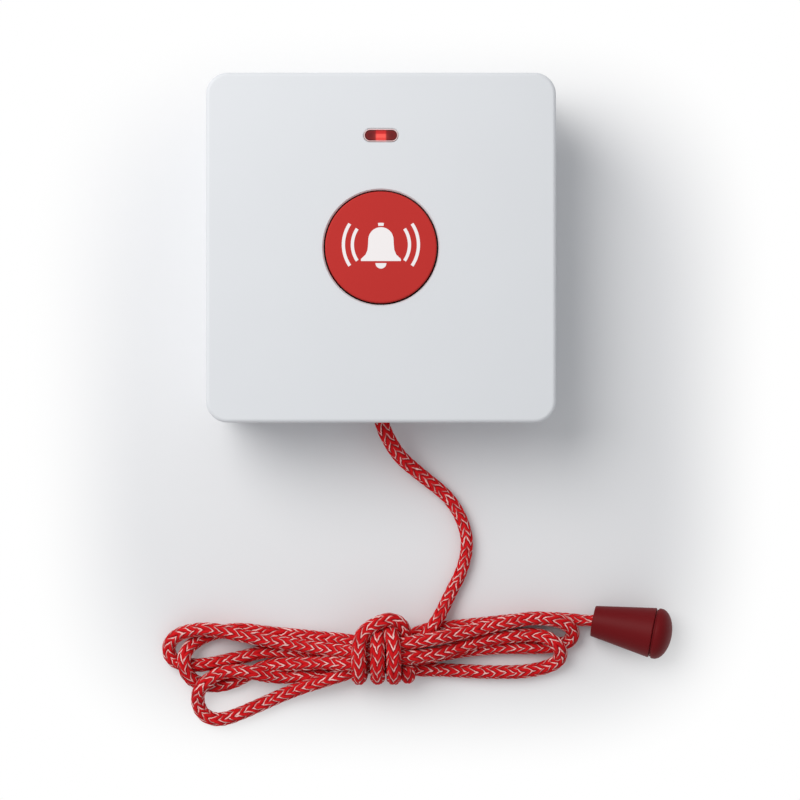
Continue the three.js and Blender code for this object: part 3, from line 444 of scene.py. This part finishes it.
# Pull
# A hollow cone with a domed cap pressed into its wide end, both turned forms moulded in dark red
# plastic. It lies on its side. The cord comes in at the small end and is knotted inside.
small_radius, large_radius, cap_radius = 3.95, 6.35, 6.45
cone_length, groove_width, groove_depth = 15.5, 0.45, 0.4
cap_length, cap_rim = 4.35, 0.7
moulded_edge = 0.35
pull_wall = 1.5
seat_depth = 3.0
knot_room = 3.6
plug_length = 2.0
gap = 0.3
seat_gap = 0.12
pull_rest_gap = 0.05
pull_place = (54.0 * mm, -93.9 * mm)
pull_turn = math.radians(-10.5)
cap_start = cone_length + groove_width
pull_pitch = max(
    math.atan((large_radius - small_radius) / (cone_length - 2 * moulded_edge)),
    math.atan((cap_radius - small_radius) / cap_start),
)
pull_height = small_radius * math.cos(pull_pitch) - moulded_edge * math.sin(pull_pitch) + pull_rest_gap


# The profile's points are (distance from the axis, distance along it).
spin_steps = 80
weld_distance = 0.002 * mm


def spun(name, profile):
    bpy.ops.object.select_all(action="DESELECT")
    bpy.ops.mesh.primitive_plane_add(size=mm)
    piece = bpy.context.object
    piece.name = name
    piece.data.name = name
    bpy.ops.object.mode_set(mode="EDIT")
    bpy.ops.mesh.select_all(action="SELECT")
    bpy.ops.mesh.merge(type="CENTER")
    bpy.ops.transform.translate(value=(profile[0][0] * mm, 0, profile[0][1] * mm))
    for (r0, h0), (r1, h1) in zip(profile, profile[1:]):
        bpy.ops.mesh.extrude_vertices_move(
            TRANSFORM_OT_translate={"value": ((r1 - r0) * mm, 0, (h1 - h0) * mm)}
        )
    bpy.ops.mesh.select_all(action="SELECT")
    bpy.ops.mesh.spin(steps=spin_steps, angle=2 * math.pi, center=(0, 0, 0), axis=(0, 0, 1))
    bpy.ops.mesh.select_all(action="SELECT")
    bpy.ops.mesh.remove_doubles(threshold=weld_distance)
    bpy.ops.mesh.normals_make_consistent(inside=False)
    bpy.ops.mesh.select_all(action="DESELECT")
    bpy.ops.object.mode_set(mode="OBJECT")
    piece.rotation_euler = (0, math.pi / 2 - pull_pitch, pull_turn)
    piece.location = (*pull_place, pull_height * mm)
    bpy.ops.object.transform_apply(location=True, rotation=True, scale=True)
    return piece


def rounded_corner(radius, height, start, end):
    return [
        (
            radius + moulded_edge * math.cos(math.radians(angle)),
            height + moulded_edge * math.sin(math.radians(angle)),
        )
        for angle in np.linspace(start, end, 6)
    ]


def even_shading(piece, angle=35):
    bpy.ops.object.select_all(action="DESELECT")
    piece.select_set(True)
    bpy.context.view_layer.objects.active = piece
    bpy.ops.object.shade_smooth_by_angle(angle=math.radians(angle))
    weigh = piece.modifiers.new("weigh", "WEIGHTED_NORMAL")
    weigh.keep_sharp = True
    bpy.ops.object.modifier_apply(modifier=weigh.name)


# Moulded plastic has a slight mottle in its colour and a fine even grain.
def moulded_plastic(name, colour, roughness, grain_scale, grain_depth, mottle, gloss=0.5):
    material, nodes, links, shader = new_material(name)
    darker = tuple(c * (1 - mottle) for c in colour)
    lighter = tuple(min(1, c * (1 + mottle)) for c in colour)
    tint = colour_ramp(nodes, links, noise_node(nodes, links, 35, 4), [(0.3, darker), (0.7, lighter)])
    links.new(tint, shader.inputs["Base Color"])
    add_bump(nodes, links, shader, noise_node(nodes, links, grain_scale, 2), 0.35, grain_depth)
    shader.inputs["Roughness"].default_value = roughness
    shader.inputs["Specular IOR Level"].default_value = gloss
    return material


bore = cord_diameter / 2 + gap
mouth = large_radius - pull_wall
taper = (mouth - knot_room) / (cone_length - seat_depth)
plug_radius = mouth - gap - taper * plug_length
cone_profile = [(bore, seat_depth), (bore, gap), (bore + gap, 0)]
cone_profile += rounded_corner(small_radius - moulded_edge, moulded_edge, -90, 0)
cone_profile += rounded_corner(large_radius - moulded_edge, cone_length - moulded_edge, 0, 90)
cone_profile += [(mouth, cone_length), (knot_room, seat_depth), (bore, seat_depth)]
shoulder = cap_radius - groove_depth
dome_height = cap_length - cap_rim
plug_start = cone_length - plug_length
cap_seat = cone_length + seat_gap
cap_profile = [
    (0, plug_start), (plug_radius, plug_start), (plug_radius, cap_seat), (shoulder, cap_seat),
    (shoulder, cap_start),
]
cap_profile += rounded_corner(cap_radius - moulded_edge, cap_start + moulded_edge, -90, 0)
cap_profile += [
    (cap_radius * math.cos(angle), cap_start + cap_rim + dome_height * math.sin(angle))
    for angle in np.linspace(0.0, 0.49 * math.pi, 16)
]
cap_profile += [(0, cap_start + cap_length)]
maroon = (0.135, 0.0030, 0.0050)
maroon_plastic = moulded_plastic("maroon_plastic", maroon, 0.5, 1500, 0.03 * mm, 0.05, 0.12)
for node, name, profile in (
    ("pull_body", "pull_cone", cone_profile),
    ("pull_cap", "pull_dome", cap_profile),
):
    piece = spun(name, profile)
    even_shading(piece, 40)
    piece.data.materials.append(maroon_plastic)
    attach(piece, "pull")
    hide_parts(node)


# Front cover
# A square shell injection moulded in white ABS with a fine satin grain, open to the back. It has the
# chamfered hole of the call button and the window of the lamp, and four posts for the case screws.
front_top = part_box("front_cover")[1].z
flat_angle = math.radians(0.4)


def moulded_copy(node, name, body, finish):
    bpy.ops.object.select_all(action="DESELECT")
    source = frame["nodes"][node]
    source.select_set(True)
    bpy.context.view_layer.objects.active = source
    bpy.ops.object.duplicate()
    piece = bpy.context.object
    bpy.ops.object.parent_clear(type="CLEAR_KEEP_TRANSFORM")
    piece.name = name
    piece.data.name = name
    del piece["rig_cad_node"]
    del piece["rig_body"]
    piece.data.materials.clear()
    bpy.ops.object.mode_set(mode="EDIT")
    bpy.ops.mesh.select_all(action="SELECT")
    bpy.ops.mesh.remove_doubles(threshold=weld_distance)
    bpy.ops.mesh.dissolve_limited(angle_limit=flat_angle)
    bpy.ops.mesh.select_all(action="DESELECT")
    bpy.ops.object.mode_set(mode="OBJECT")
    even_shading(piece)
    piece.data.materials.append(finish)
    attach(piece, body)
    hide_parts(node)
    return piece


shell_white = (0.692, 0.709, 0.735)
white_plastic = moulded_plastic("white_abs", shell_white, 0.42, 2600, 0.02 * mm, 0.008, 0.28)
moulded_copy("front_cover", "cover_shell", "housing", white_plastic)


# Lamp window
# A light guide of clear red acrylic, snapped into the pill shaped slot above the button. The lamp
# behind its middle is lit, so the middle glows and the ends stay dark.
# The window's rim is coloured with painted light: a thin lighter line and a pale outer lip as painted
# highlights, and a dark band between them as painted shade.
lens_centre = (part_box("led_lens")[0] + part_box("led_lens")[1]) / 2
lens_straight = 2.65
lens_round = 1.3
lens_lip = 0.22


# Distances in millimetres from a point of the frame.
def from_point(nodes, links, x, y):
    coordinates = nodes.new("ShaderNodeTexCoord")
    centre = nodes.new("ShaderNodeMapping")
    centre.inputs["Location"].default_value = (-x / mm, -y / mm, 0)
    centre.inputs["Scale"].default_value = (1 / mm, 1 / mm, 1 / mm)
    links.new(coordinates.outputs["Object"], centre.inputs["Vector"])
    split = nodes.new("ShaderNodeSeparateXYZ")
    links.new(centre.outputs["Vector"], split.inputs["Vector"])
    return split.outputs["X"], split.outputs["Y"]


def acrylic_finish():
    material, nodes, links, shader = new_material("red_acrylic")
    right, up = from_point(nodes, links, 0, lens_centre.y)
    sideways = math_node(nodes, links, "ABSOLUTE", right)
    upwards = math_node(nodes, links, "ABSOLUTE", up)
    past_straight = math_node(nodes, links, "SUBTRACT", sideways, lens_straight)
    past_straight = math_node(nodes, links, "MAXIMUM", past_straight, 0)
    square = math_node(nodes, links, "ADD", math_node(nodes, links, "POWER", past_straight, 2),
                       math_node(nodes, links, "POWER", upwards, 2))
    from_spine = math_node(nodes, links, "SQRT", square)
    to_rim = math_node(nodes, links, "DIVIDE", from_spine, lens_round + lens_lip)
    # Painted light on the rim: a thin lighter line as a painted highlight, a dark band as painted shade, and
    # a pale outer lip as a painted highlight of the slot's edge.
    lens_rim_painted_light = colour_ramp(nodes, links, to_rim, [
        (0.0, (0.13, 0.007, 0.008)), (0.58, (0.16, 0.009, 0.010)), (0.62, (0.24, 0.016, 0.016)),
        (0.67, (0.10, 0.004, 0.005)), (0.84, (0.07, 0.003, 0.004)), (0.90, (0.80, 0.50, 0.50)),
        (1.0, (0.86, 0.74, 0.74)),
    ])
    links.new(lens_rim_painted_light, shader.inputs["Base Color"])
    across_glow = colour_ramp(nodes, links, math_node(nodes, links, "DIVIDE", sideways, lens_straight), [
        (0.0, (1, 1, 1)), (0.40, (1, 1, 1)), (0.54, (0.16, 0.16, 0.16)), (0.75, (0.05, 0.05, 0.05)),
        (1.0, (0, 0, 0)),
    ])
    height = math_node(nodes, links, "MULTIPLY_ADD", up, 0.5 / lens_round, 0.5)
    glow = colour_ramp(nodes, links, height, [
        (0.0, (0.45, 0.02, 0.02)), (0.10, (0.95, 0.10, 0.08)), (0.22, (0.75, 0.045, 0.04)),
        (0.30, (1.0, 0.13, 0.10)), (0.56, (1.0, 0.11, 0.09)), (0.68, (0.62, 0.020, 0.018)),
        (0.92, (0.45, 0.010, 0.010)), (1.0, (0.20, 0.0, 0.0)),
    ])
    lit = nodes.new("ShaderNodeVectorMath")
    lit.operation = "MULTIPLY"
    links.new(glow, lit.inputs[0])
    links.new(across_glow, lit.inputs[1])
    inside = colour_ramp(nodes, links, to_rim, [
        (0.0, (1, 1, 1)), (0.82, (1, 1, 1)), (0.94, (0.10, 0.02, 0.02)), (1.0, (0, 0, 0)),
    ])
    shown = nodes.new("ShaderNodeVectorMath")
    shown.operation = "MULTIPLY"
    links.new(lit.outputs[0], shown.inputs[0])
    links.new(inside, shown.inputs[1])
    links.new(shown.outputs[0], shader.inputs["Emission Color"])
    shader.inputs["Emission Strength"].default_value = 0.85
    shader.inputs["Roughness"].default_value = 0.15
    shader.inputs["Specular IOR Level"].default_value = 0.2
    return material


lens = moulded_copy("led_lens", "lamp_window", "housing", acrylic_finish())
for corner in lens.data.vertices:
    if corner.co.z > front_top - 2 * mm:
        spine = max(-lens_straight * mm, min(lens_straight * mm, corner.co.x))
        away = Vector((corner.co.x - spine, corner.co.y - lens_centre.y, 0))
        if away.length > 0.5 * mm:
            corner.co += away.normalized() * lens_lip * mm


# Call button
# A round cap moulded in red ABS with a matt face. It stands a little proud of the cover, and its
# skirt is hooked behind the cover's collar.
red_plastic = moulded_plastic("red_abs", (0.500, 0.029, 0.025), 0.55, 1800, 0.03 * mm, 0.03, 0.10)
moulded_copy("call_button", "button_cap", "button", red_plastic)


# Mark on the call button
# A plain bell with two sound waves on each side, printed in white ink on the red face.
def printed_outline(curve, points):
    spline = curve.splines.new("POLY")
    spline.points.add(len(points) - 1)
    for target, (x, y) in zip(spline.points, points):
        target.co = (x * mm, y * mm, 0, 1)
    spline.use_cyclic_u = True


def arc_band(radius, width, middle_angle, spread, centre_y, steps=20):
    angles = [math.radians(middle_angle - spread + 2 * spread * i / steps) for i in range(steps + 1)]
    outer = [(radius + width / 2, a) for a in angles]
    inner = [(radius - width / 2, a) for a in reversed(angles)]
    return [(r * math.cos(a), centre_y + r * math.sin(a)) for r, a in outer + inner]


def bell_outline():
    half = [(0, 4.9)]
    half += [(3.1 * math.sin(a), 1.8 + 3.1 * math.cos(a)) for a in np.linspace(0.1, math.pi / 2, 12)]
    half += [(3.15, 0.6), (3.3, -0.7), (3.75, -1.8), (4.5, -2.5), (4.9, -2.9), (4.9, -3.4)]
    return half + [(-x, y) for x, y in reversed(half[1:])]


def half_disc(radius, centre_y, steps=16):
    return [
        (radius * math.cos(a), centre_y + radius * math.sin(a))
        for a in np.linspace(math.pi, 2 * math.pi, steps)
    ]


def printed_mark():
    curve = bpy.data.curves.new("call_mark", "CURVE")
    curve.dimensions = "2D"
    curve.fill_mode = "BOTH"
    curve.extrude = 0.02 * mm
    printed_outline(curve, bell_outline())
    printed_outline(curve, half_disc(1.35, -3.9))
    printed_outline(curve, arc_band(5.6, 0.75, 90, 7, 0))
    for radius in (7.0, 9.2):
        for middle_angle in (0, 180):
            printed_outline(curve, arc_band(radius, 0.8, middle_angle, 34, 0.6))
    mark = bpy.data.objects.new("call_mark", curve)
    bpy.context.scene.collection.objects.link(mark)
    bpy.ops.object.select_all(action="DESELECT")
    mark.select_set(True)
    bpy.context.view_layer.objects.active = mark
    bpy.ops.object.convert(target="MESH")
    mark = bpy.context.object
    mark.location.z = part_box("call_button")[1].z + 0.02 * mm
    bpy.ops.object.transform_apply(location=True)
    return mark


mark = printed_mark()
white_ink = moulded_plastic("white_ink", (0.86, 0.82, 0.82), 0.5, 3000, 0.01 * mm, 0.01, 0.3)
mark.data.materials.append(white_ink)
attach(mark, "button")


# Rear case and battery door
# The case is a tray in the same white ABS, with the battery bay, the screw bosses and the board posts
# moulded in. Four screws from behind draw the cover onto it, and a flat lid closes the battery bay.
moulded_copy("rear_case", "case_tray", "housing", white_plastic)
moulded_copy("battery_door", "battery_lid", "housing", white_plastic)


# Wall plate
# A flat plate in white ABS, screwed through its two slots to a wall box. Its four upturned hooks hold
# the case, which is slid down onto them.
moulded_copy("wall_plate", "back_plate", "housing", white_plastic)


# Cord bush
# A flanged sleeve turned in white acetal and pressed into the lower side of the case, so that the cord
# runs over a smooth edge.
white_acetal = moulded_plastic("white_acetal", (0.74, 0.75, 0.75), 0.3, 3000, 0.005 * mm, 0.01)
moulded_copy("cord_bush", "cord_sleeve", "housing", white_acetal)


# Cells
# Two AAA alkaline cells side by side. Each steel can has a printed shrink sleeve, dark with a copper
# coloured end at the plus side, and bare metal at its two ends.
def carried_over(names, material):
    for name in names:
        frame["nodes"][name].data.materials.clear()
        frame["nodes"][name].data.materials.append(material)


def cell_finish(name, plus_side):
    material, nodes, links, shader = new_material(name)
    coordinates = nodes.new("ShaderNodeTexCoord")
    split = nodes.new("ShaderNodeSeparateXYZ")
    links.new(coordinates.outputs["Object"], split.inputs["Vector"])
    length = math_node(nodes, links, "MULTIPLY_ADD", split.outputs["X"], plus_side / (50 * mm), 0.5)
    sleeve, copper, metal = (0.018, 0.022, 0.028), (0.42, 0.16, 0.05), (0.62, 0.62, 0.60)
    tint = colour_ramp(nodes, links, length, [
        (0.0, metal), (0.075, metal), (0.08, sleeve), (0.72, sleeve), (0.73, copper), (0.915, copper),
        (0.92, metal),
    ])
    links.new(tint, shader.inputs["Base Color"])
    bare = colour_ramp(nodes, links, length, [
        (0.0, (1, 1, 1)), (0.075, (1, 1, 1)), (0.08, (0, 0, 0)), (0.915, (0, 0, 0)), (0.92, (1, 1, 1)),
    ])
    links.new(bare, shader.inputs["Metallic"])
    add_bump(nodes, links, shader, noise_node(nodes, links, 260, 3), 0.25, 0.03 * mm)
    shader.inputs["Roughness"].default_value = 0.3
    return material


carried_over(["battery_1"], cell_finish("first_cell_sleeve", 1))
carried_over(["battery_2"], cell_finish("second_cell_sleeve", -1))


# Contacts and antenna
# Contacts pressed from nickel plated spring steel strip, with a conical spring wound for each flat
# cell end, and an antenna folded from the same strip and soldered to the board.
def plated_metal(name, colour, roughness, line_scale, lines):
    material, nodes, links, shader = new_material(name)
    darker = tuple(c * 0.85 for c in colour)
    tint = colour_ramp(nodes, links, noise_node(nodes, links, 90, 4), [(0.3, darker), (0.7, colour)])
    links.new(tint, shader.inputs["Base Color"])
    coordinates = nodes.new("ShaderNodeTexCoord")
    stretch = nodes.new("ShaderNodeMapping")
    stretch.inputs["Scale"].default_value = lines
    links.new(coordinates.outputs["Object"], stretch.inputs["Vector"])
    drawn = nodes.new("ShaderNodeTexNoise")
    drawn.inputs["Scale"].default_value = line_scale
    links.new(stretch.outputs["Vector"], drawn.inputs["Vector"])
    add_bump(nodes, links, shader, drawn.outputs["Fac"], 0.3, 0.01 * mm)
    shader.inputs["Roughness"].default_value = roughness
    shader.inputs["Metallic"].default_value = 1
    return material


nickel = plated_metal("nickel_plate", (0.68, 0.65, 0.58), 0.25, 900, (1, 1, 0.1))
carried_over(["contact_link", "contact_plus", "contact_minus", "antenna"], nickel)


# Circuit board
# Glass fibre board on four posts, with green solder resist over its copper tracks and tinned pads.
bare_resist, darker_resist = (0.015, 0.115, 0.040), (0.012, 0.095, 0.034)
resist_on_track = (0.030, 0.205, 0.075)
pad_tin = (0.62, 0.60, 0.52)


def board_finish():
    material, nodes, links, shader = new_material("solder_resist")
    coordinates = nodes.new("ShaderNodeTexCoord")
    tracks = nodes.new("ShaderNodeTexBrick")
    tracks.inputs["Scale"].default_value = 220
    tracks.inputs["Mortar Size"].default_value = 0.06
    tracks.inputs["Color1"].default_value = (*bare_resist, 1)
    tracks.inputs["Color2"].default_value = (*darker_resist, 1)
    tracks.inputs["Mortar"].default_value = (*resist_on_track, 1)
    links.new(coordinates.outputs["Object"], tracks.inputs["Vector"])
    pads = nodes.new("ShaderNodeTexVoronoi")
    pads.inputs["Scale"].default_value = 230
    links.new(coordinates.outputs["Object"], pads.inputs["Vector"])
    tinned = colour_ramp(nodes, links, pads.outputs["Distance"], [(0.10, (1, 1, 1)), (0.13, (0, 0, 0))])
    board_colour = two_colours(nodes, links, tinned, tracks.outputs["Color"], pad_tin)
    links.new(board_colour, shader.inputs["Base Color"])
    add_bump(nodes, links, shader, tracks.outputs["Fac"], 0.3, 0.03 * mm)
    shader.inputs["Roughness"].default_value = 0.3
    return material


carried_over(["main_board"], board_finish())


# Parts on the board
# A radio module under its pressed steel shield, a round piezo buzzer, the red status lamp, and the
# two switches, all in their makers' standard cases and soldered to the board.
shield_steel = plated_metal("tinned_shield", (0.66, 0.66, 0.66), 0.35, 500, (1, 0.1, 1))
black_nylon = moulded_plastic("black_nylon", (0.020, 0.020, 0.022), 0.5, 1500, 0.03 * mm, 0.1)
lamp_epoxy = moulded_plastic("lamp_epoxy", (0.80, 0.70, 0.60), 0.25, 600, 0.01 * mm, 0.05)
carried_over(["radio_module"], shield_steel)
carried_over(["buzzer", "tact_switch", "tact_plunger", "limit_switch"], black_nylon)
carried_over(["status_led"], lamp_epoxy)
red_pin = moulded_plastic("red_pin", (0.45, 0.03, 0.03), 0.45, 1500, 0.02 * mm, 0.05)
carried_over(["limit_plunger"], red_pin)


# Slider and retainer
# The cord's knot sits in a black acetal slider, which a white strap holds down between its guides.
black_acetal = moulded_plastic("black_acetal", (0.016, 0.016, 0.018), 0.35, 2000, 0.01 * mm, 0.1)
carried_over(["pull_slider"], black_acetal)
carried_over(["slider_retainer"], white_acetal)


# Hidden cord
# The end of the same red braid inside the housing and its two knots, plain where no one sees it.
knotted_yarn = moulded_plastic("knotted_yarn", (0.50, 0.012, 0.018), 0.8, 900, 0.15 * mm, 0.2)
carried_over(["inner_cord", "end_knot"], knotted_yarn)


# Springs
# Music wire wound cold: one coil under the call button and one behind the slider.
music_wire = plated_metal("music_wire", (0.50, 0.50, 0.52), 0.3, 1500, (1, 1, 1))
carried_over(["button_spring", "pull_spring"], music_wire)
button_travel, cord_travel = 0.6 * mm, 4.0 * mm
for node, joint, axis, travel in (
    ("button_spring", "call_button_press", (0, 0, 1), button_travel),
    ("pull_spring", "cord_pull", (0, 1, 0), cord_travel),
):
    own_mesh(frame["nodes"][node])


# Screws
# Cross recessed screws in zinc plated steel: four for the case, four for the board and two for the
# retainer.
zinc_plate = plated_metal("zinc_plate", (0.60, 0.60, 0.63), 0.38, 800, (1, 1, 0.15))
for group, count in (("case", 4), ("board", 4), ("retainer", 2)):
    carried_over([f"{group}_screw_{number}" for number in range(1, count + 1)], zinc_plate)


# Seal
# A black rubber ring round the spigot of the case, squeezed by the cover.
seal_rubber = moulded_plastic("seal_rubber", (0.022, 0.022, 0.023), 0.85, 1200, 0.05 * mm, 0.15, 0.3)
carried_over(["case_seal"], seal_rubber)


# Table and light
# The unit lies on a white table that fades to plain white away from it. A large soft box stands up
# and to the left, and the room gives an even pale fill.
room_level = 0.50
key_level = 0.56
key_place = Vector((-0.27, 0.20, 0.46))
key_size = 0.46
table_colour = (0.80, 0.805, 0.82)
fade_start, fade_end = 64, 97

bpy.ops.object.select_all(action="DESELECT")
bpy.ops.mesh.primitive_plane_add(size=6, location=(0, 0, -0.1 * mm))
table = bpy.context.object
table.name = "table_top"
bpy.ops.object.transform_apply(location=True)


def seen_directly(nodes, links):
    path = nodes.new("ShaderNodeLightPath")
    seen = math_node(nodes, links, "ADD", path.outputs["Is Camera Ray"], path.outputs["Is Glossy Ray"])
    seen = math_node(nodes, links, "ADD", seen, path.outputs["Is Transmission Ray"])
    seen.node.use_clamp = True
    return seen


def table_finish():
    material, nodes, links, shader = new_material("white_table")
    shader.inputs["Base Color"].default_value = (*table_colour, 1)
    shader.inputs["Roughness"].default_value = 0.9
    shader.inputs["Specular IOR Level"].default_value = 0.1
    fourth = [
        math_node(nodes, links, "POWER", math_node(nodes, links, "ABSOLUTE", distance), 4)
        for distance in from_point(nodes, links, camera_place[0], camera_place[1])
    ]
    reach = math_node(nodes, links, "POWER", math_node(nodes, links, "ADD", *fourth), 0.25)
    spread = nodes.new("ShaderNodeMapRange")
    spread.interpolation_type = "SMOOTHSTEP"
    spread.inputs["From Min"].default_value = fade_start
    spread.inputs["From Max"].default_value = fade_end
    links.new(reach, spread.inputs["Value"])
    amount = math_node(nodes, links, "MULTIPLY", seen_directly(nodes, links), spread.outputs["Result"])
    white = nodes.new("ShaderNodeEmission")
    white.inputs["Color"].default_value = (1, 1, 1, 1)
    white.inputs["Strength"].default_value = 1
    mix = nodes.new("ShaderNodeMixShader")
    links.new(amount, mix.inputs["Fac"])
    links.new(shader.outputs["BSDF"], mix.inputs[1])
    links.new(white.outputs["Emission"], mix.inputs[2])
    links.new(mix.outputs["Shader"], nodes["Material Output"].inputs["Surface"])
    return material


table.data.materials.append(table_finish())

world = bpy.data.worlds.new("room")
bpy.context.scene.world = world
world.use_nodes = True
walls = world.node_tree.nodes
fill = walls["Background"]
fill.inputs["Color"].default_value = (0.965, 0.98, 1.0, 1)
fill.inputs["Strength"].default_value = room_level
backdrop = walls.new("ShaderNodeBackground")
backdrop.inputs["Color"].default_value = (1, 1, 1, 1)
backdrop.inputs["Strength"].default_value = 1
choose = walls.new("ShaderNodeMixShader")
world.node_tree.links.new(seen_directly(walls, world.node_tree.links), choose.inputs["Fac"])
world.node_tree.links.new(fill.outputs["Background"], choose.inputs[1])
world.node_tree.links.new(backdrop.outputs["Background"], choose.inputs[2])
world.node_tree.links.new(choose.outputs["Shader"], walls["World Output"].inputs["Surface"])

to_object = Vector((0, -0.03, 0)) - key_place
turn = to_object.to_track_quat("-Z", "Y").to_euler()
bpy.ops.object.light_add(type="AREA", location=key_place, rotation=turn)
key = bpy.context.object
key.data.shape = "DISK"
key.data.size = key_size
key.data.energy = key_level * math.pi ** 2 * to_object.length_squared / abs(to_object.normalized().z)
key.data.color = (1.0, 0.99, 0.975)
